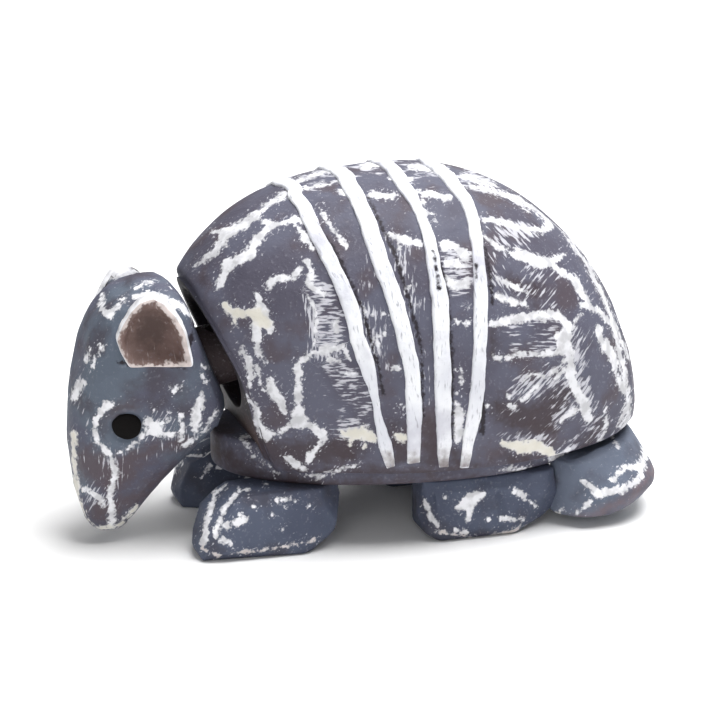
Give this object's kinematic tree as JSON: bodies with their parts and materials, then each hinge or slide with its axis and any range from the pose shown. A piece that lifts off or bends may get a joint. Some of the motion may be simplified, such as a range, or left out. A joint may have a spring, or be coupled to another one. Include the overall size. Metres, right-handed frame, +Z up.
{
  "type": "nodding-head armadillo figure",
  "caption": "Small carved and painted wooden armadillo with a ribbed dome shell, cupped ears, stub feet, a flat tail and a hung head that nods and sways.",
  "frame": {"origin": "on the ground, at the middle of the figure's box", "axes": "+X towards the tail, so the head faces -X; +Y towards the animal's right side; +Z up"},
  "size_m": [0.1064, 0.0542, 0.0642],
  "materials": {
    "painted_shell": "matte",
    "painted_head": "matte",
    "painted_limb": "matte",
    "painted_ear": "matte",
    "painted_eye": "satin",
    "bare_wood": "matte",
    "wire": "satin",
    "iron": "matte"
  },
  "bodies": {
    "body": {"shell": "painted_shell", "front_left_foot": "painted_limb", "front_right_foot": "painted_limb", "rear_left_foot": "painted_limb", "rear_right_foot": "painted_limb", "foot_pegs": "bare_wood", "tail": "painted_limb", "tail_peg": "bare_wood", "pivot_pin": "wire"},
    "link": {"hanger_link": "wire"},
    "head": {"head": "painted_head", "neck_eye": "wire", "counterweight": "iron", "counterweight_nail": "wire", "left_ear": "painted_ear", "right_ear": "painted_ear", "left_eye": "painted_eye", "right_eye": "painted_eye"}
  },
  "joints": [
    {"name": "head_nod", "type": "hinge", "parent": "body", "child": "link", "pos_m": [-0.0251, 0, 0.0422], "axis": [0, 1, 0], "range_deg": [-4, 11]},
    {"name": "head_sway", "type": "hinge", "parent": "link", "child": "head", "pos_m": [-0.0251, 0, 0.03735], "axis": [1, 0, 0], "range_deg": [-10, 10]}
  ]
}
